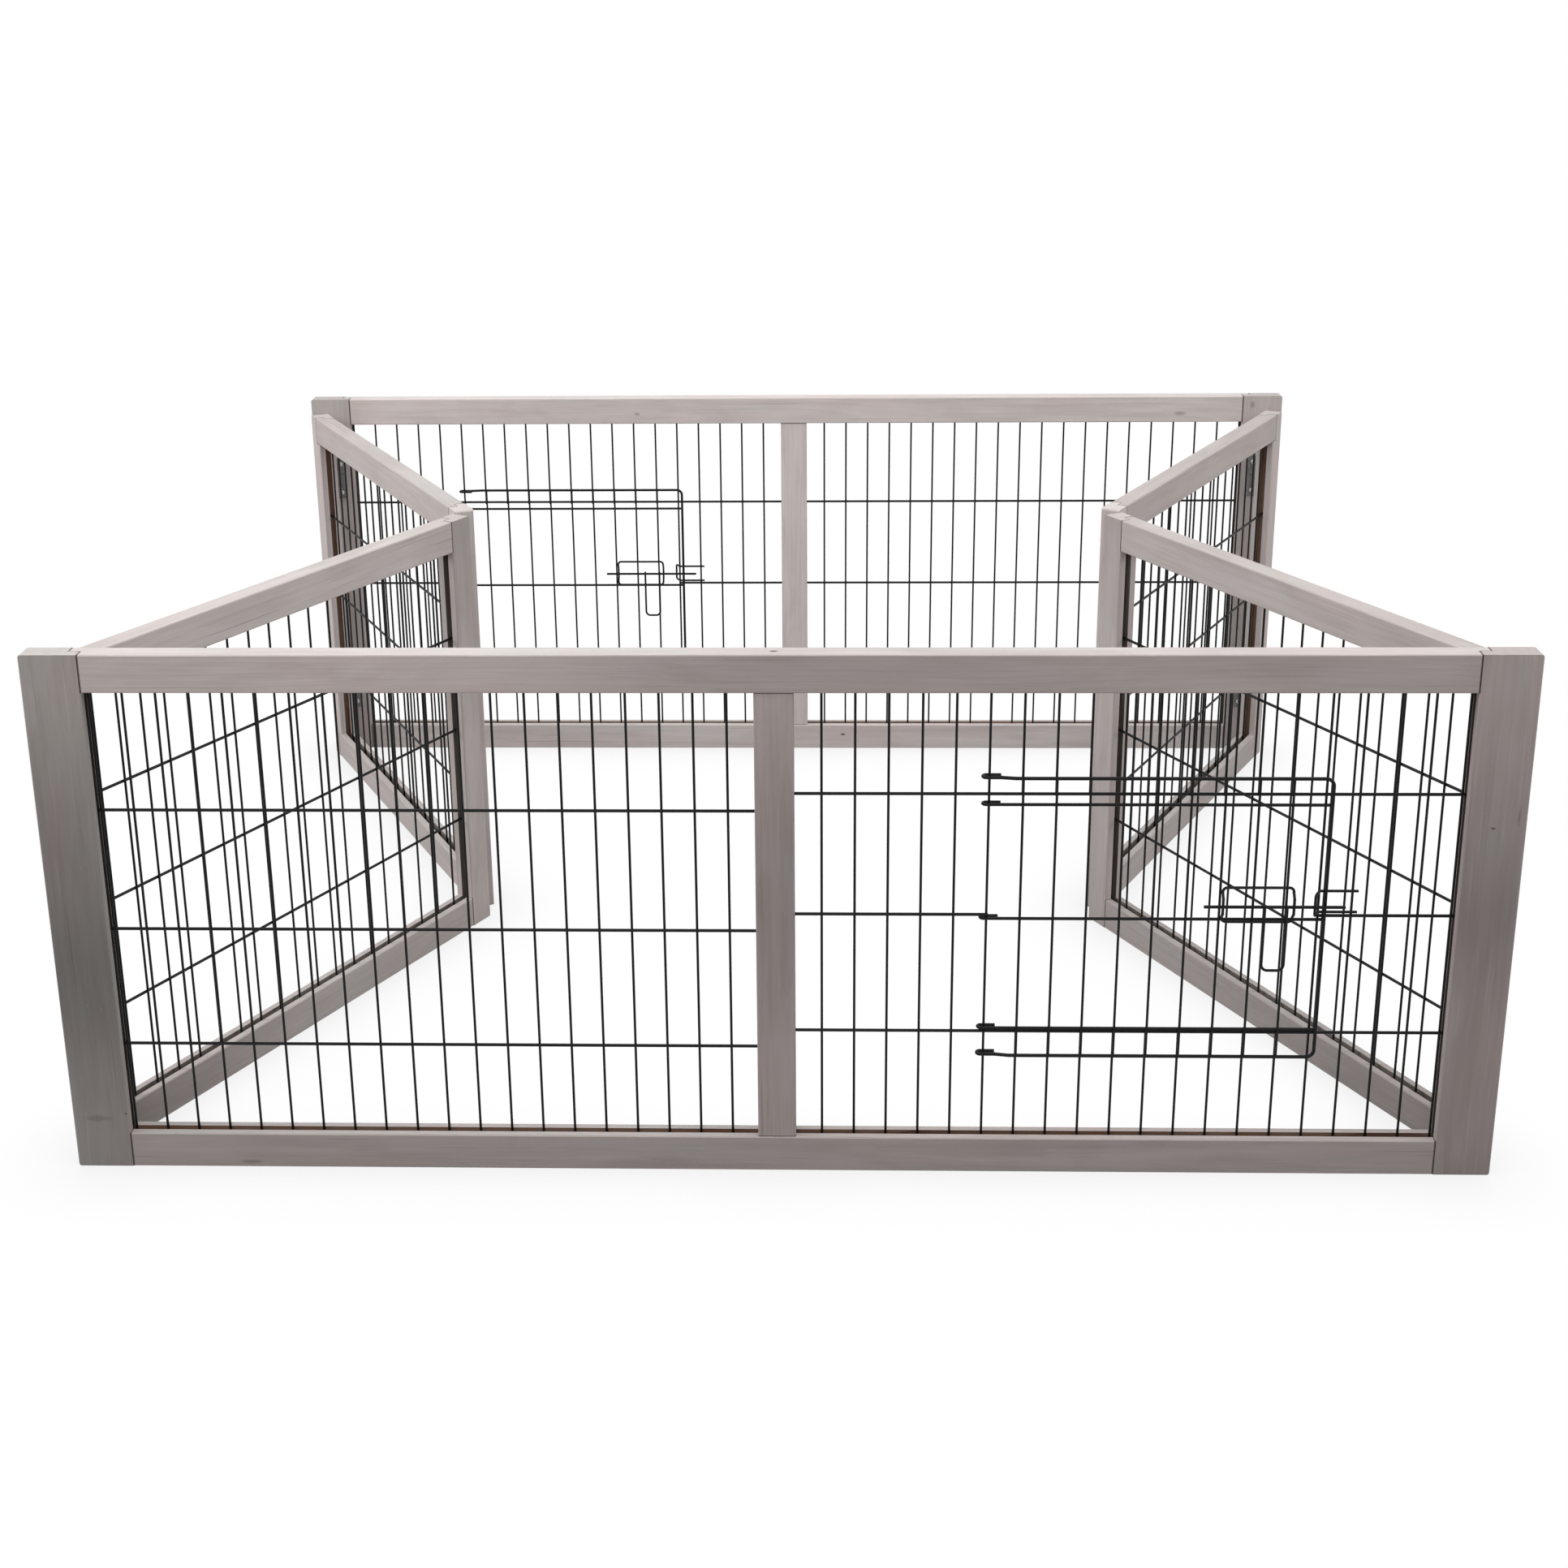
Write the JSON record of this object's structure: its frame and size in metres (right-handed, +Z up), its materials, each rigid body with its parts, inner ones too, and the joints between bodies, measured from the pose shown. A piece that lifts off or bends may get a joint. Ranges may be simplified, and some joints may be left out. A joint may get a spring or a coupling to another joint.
{
  "type": "folding outdoor rabbit run",
  "caption": "Folding floorless rabbit run: grooved pine frames round welded wire mesh, sides hinged to fold in, and a loop-hung wire door with a sliding bolt on each long side.",
  "frame": {"origin": "on the ground, in the middle of the run as it stands in the picture", "axes": "+X along the front panel to its right end as seen from outside the front, +Y from the front panel to the back panel, +Z up"},
  "size_m": [1.13, 0.9858, 0.434],
  "materials": {
    "wood": "greige glaze over planed pine, with a faint grain and small knots",
    "wire": "black coated welded wire, satin",
    "door_wire": "black coated bent wire, satin",
    "hinge": "zinc plated pressed sheet",
    "fastener": "zinc plated steel"
  },
  "bodies": {
    "front_panel": {"front_left_stile": "wood", "front_right_stile": "wood", "front_top_rail": "wood", "front_bottom_rail": "wood", "front_mullion": "wood", "front_left_mesh": "wire", "front_right_mesh": "wire", "front_hinge_leaves": "hinge", "front_hinge_pins": "fastener", "front_hinge_screws": "fastener"},
    "left_front": {"left_front_corner_stile": "wood", "left_front_fold_stile": "wood", "left_front_top_rail": "wood", "left_front_bottom_rail": "wood", "left_front_mesh": "wire", "left_front_hinge_leaves": "hinge", "left_front_hinge_screws": "fastener", "left_fold_hinge_pins": "fastener"},
    "left_back": {"left_back_corner_stile": "wood", "left_back_fold_stile": "wood", "left_back_top_rail": "wood", "left_back_bottom_rail": "wood", "left_back_mesh": "wire", "left_back_hinge_leaves": "hinge", "left_back_hinge_screws": "fastener"},
    "right_front": {"right_front_corner_stile": "wood", "right_front_fold_stile": "wood", "right_front_top_rail": "wood", "right_front_bottom_rail": "wood", "right_front_mesh": "wire", "right_front_hinge_leaves": "hinge", "right_front_hinge_screws": "fastener", "right_fold_hinge_pins": "fastener"},
    "right_back": {"right_back_corner_stile": "wood", "right_back_fold_stile": "wood", "right_back_top_rail": "wood", "right_back_bottom_rail": "wood", "right_back_mesh": "wire", "right_back_hinge_leaves": "hinge", "right_back_hinge_screws": "fastener"},
    "back_panel": {"back_left_stile": "wood", "back_right_stile": "wood", "back_top_rail": "wood", "back_bottom_rail": "wood", "back_mullion": "wood", "back_left_mesh": "wire", "back_right_mesh": "wire", "back_hinge_leaves": "hinge", "back_hinge_pins": "fastener", "back_hinge_screws": "fastener"},
    "front_door": {"front_door": "door_wire"},
    "front_bolt": {"front_bolt": "door_wire"},
    "back_door": {"back_door": "door_wire"},
    "back_bolt": {"back_bolt": "door_wire"}
  },
  "joints": [
    {"name": "left_front_corner", "type": "hinge", "parent": "front_panel", "child": "left_front", "pos_m": [-0.5435, -0.47138, 0.209], "axis": [0, 0, 1], "range_deg": [-62, 28]},
    {"name": "left_fold", "type": "hinge", "parent": "left_front", "child": "left_back", "pos_m": [-0.32027, 0, 0.209], "axis": [0, 0, -1], "range_deg": [-124, 56]},
    {"name": "left_back_corner", "type": "hinge", "parent": "left_back", "child": "back_panel", "pos_m": [-0.5435, 0.47138, 0.209], "axis": [0, 0, 1], "range_deg": [-62, 28]},
    {"name": "right_front_corner", "type": "hinge", "parent": "front_panel", "child": "right_front", "pos_m": [0.5435, -0.47138, 0.209], "axis": [0, 0, -1], "range_deg": [-62, 28]},
    {"name": "right_fold", "type": "hinge", "parent": "right_front", "child": "right_back", "pos_m": [0.32027, 0, 0.209], "axis": [0, 0, 1], "range_deg": [-124, 56]},
    {"name": "front_door_swing", "type": "hinge", "parent": "front_panel", "child": "front_door", "pos_m": [0.1627, -0.48158, 0.2205], "axis": [0, 0, -1], "range_deg": [0, 150]},
    {"name": "front_bolt_slide", "type": "slide", "parent": "front_door", "child": "front_bolt", "axis": [-1, 0, 0], "range_m": [0, 0.0285]},
    {"name": "back_door_swing", "type": "hinge", "parent": "back_panel", "child": "back_door", "pos_m": [-0.3913, 0.48158, 0.208], "axis": [0, 0, 1], "range_deg": [0, 150]},
    {"name": "back_bolt_slide", "type": "slide", "parent": "back_door", "child": "back_bolt", "axis": [-1, 0, 0], "range_m": [0, 0.0285]}
  ],
  "couplings": [
    {"joint": "left_fold", "follows": "left_front_corner", "ratio": 2},
    {"joint": "left_back_corner", "follows": "left_front_corner", "ratio": 1},
    {"joint": "right_front_corner", "follows": "left_front_corner", "ratio": 1},
    {"joint": "right_fold", "follows": "left_front_corner", "ratio": 2}
  ]
}
